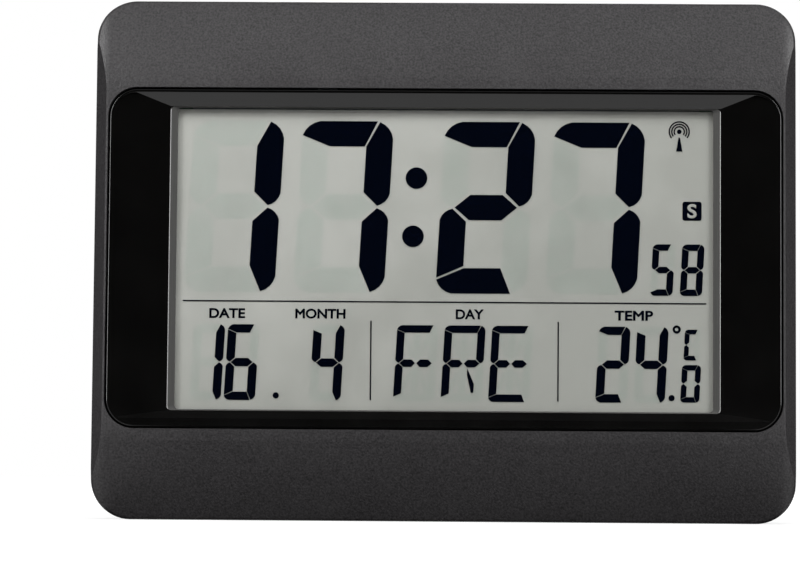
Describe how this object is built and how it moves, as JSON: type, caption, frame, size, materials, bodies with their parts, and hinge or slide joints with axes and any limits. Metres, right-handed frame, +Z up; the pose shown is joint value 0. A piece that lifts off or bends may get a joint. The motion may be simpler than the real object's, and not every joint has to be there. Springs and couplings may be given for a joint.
{
  "type": "digital wall clock",
  "caption": "Flat digital clock with a large liquid crystal display in a recessed black bezel, sloped caps above and below, a fold-out stand and a keyhole for hanging.",
  "frame": {"origin": "middle of the overall box, at its base", "axes": "+X to the right of the display as it is read, +Y from the display towards the wall, +Z up"},
  "size_m": [0.215, 0.03, 0.16],
  "materials": {
    "case_plastic": "fine grained anthracite",
    "bezel_plastic": "polished black",
    "clear_lens": "clear acrylic sheet",
    "display_film": "clear polarising film",
    "display_glass": "thin clear glass",
    "segment_dark": "dark blue-black segments",
    "segment_idle": "faint idle segments",
    "display_back": "grey-green diffuse reflector",
    "tray_plastic": "plain white moulding",
    "contact_rubber": "layered rubber",
    "board": "lacquered circuit board",
    "chip_resin": "black resin",
    "plated_metal": "nickel plated",
    "switch_plastic": "black switch body",
    "ferrite": "sintered grey-black",
    "copper_wire": "lacquered copper winding",
    "white_lead": "soft sleeve",
    "red_lead": "soft sleeve",
    "black_lead": "soft sleeve",
    "flat_cable": "grey ribbon",
    "button_plastic": "satin anthracite",
    "cell_jacket": "plain printed sleeve",
    "steel": "zinc plated"
  },
  "bodies": {
    "case": {"front_frame": "case_plastic", "rear_cover": "case_plastic", "display_bezel": "bezel_plastic", "display_lens": "clear_lens", "lcd_front_polariser": "display_film", "lcd_front_glass": "display_glass", "lcd_rear_glass": "display_glass", "lcd_segments_on": "segment_dark", "lcd_segments_off": "segment_idle", "lcd_reflector": "display_back", "lcd_holder": "tray_plastic", "zebra_strip": "contact_rubber", "main_pcb": "board", "controller_chip": "chip_resin", "quartz_crystal": "plated_metal", "key_pcb": "board", "tact_switches": "switch_plastic", "thermistor": "chip_resin", "receiver_pcb": "board", "ferrite_rod": "ferrite", "antenna_coil": "copper_wire", "antenna_lead": "white_lead", "key_cable": "flat_cable", "receiver_cable": "flat_cable", "aa_cells": "cell_jacket", "battery_bridge": "plated_metal", "battery_terminal_positive": "plated_metal", "battery_terminal_negative": "plated_metal", "battery_lead_positive": "red_lead", "battery_lead_negative": "black_lead", "stand_pin": "steel", "case_screws": "steel", "bezel_screws": "steel", "board_screws": "steel"},
    "stand": {"stand": "case_plastic"},
    "battery_door": {"battery_door": "case_plastic"},
    "set_button": {"set_button": "button_plastic"},
    "up_button": {"up_button": "button_plastic"},
    "down_button": {"down_button": "button_plastic"},
    "receive_button": {"receive_button": "button_plastic"}
  },
  "joints": [
    {"name": "stand_hinge", "type": "hinge", "parent": "case", "child": "stand", "pos_m": [0, 0.0117, 0.097], "axis": [1, 0, 0], "range_deg": [0, 25]},
    {"name": "battery_door_slide", "type": "slide", "parent": "case", "child": "battery_door", "axis": [1, 0, 0], "range_m": [0, 0.066]},
    {"name": "set_button_press", "type": "slide", "parent": "case", "child": "set_button", "axis": [0, -1, 0], "range_m": [0, 0.0005], "stiffness_N_per_m": 1500},
    {"name": "up_button_press", "type": "slide", "parent": "case", "child": "up_button", "axis": [0, -1, 0], "range_m": [0, 0.0005], "stiffness_N_per_m": 1500},
    {"name": "down_button_press", "type": "slide", "parent": "case", "child": "down_button", "axis": [0, -1, 0], "range_m": [0, 0.0005], "stiffness_N_per_m": 1500},
    {"name": "receive_button_press", "type": "slide", "parent": "case", "child": "receive_button", "axis": [0, -1, 0], "range_m": [0, 0.0005], "stiffness_N_per_m": 1500}
  ]
}
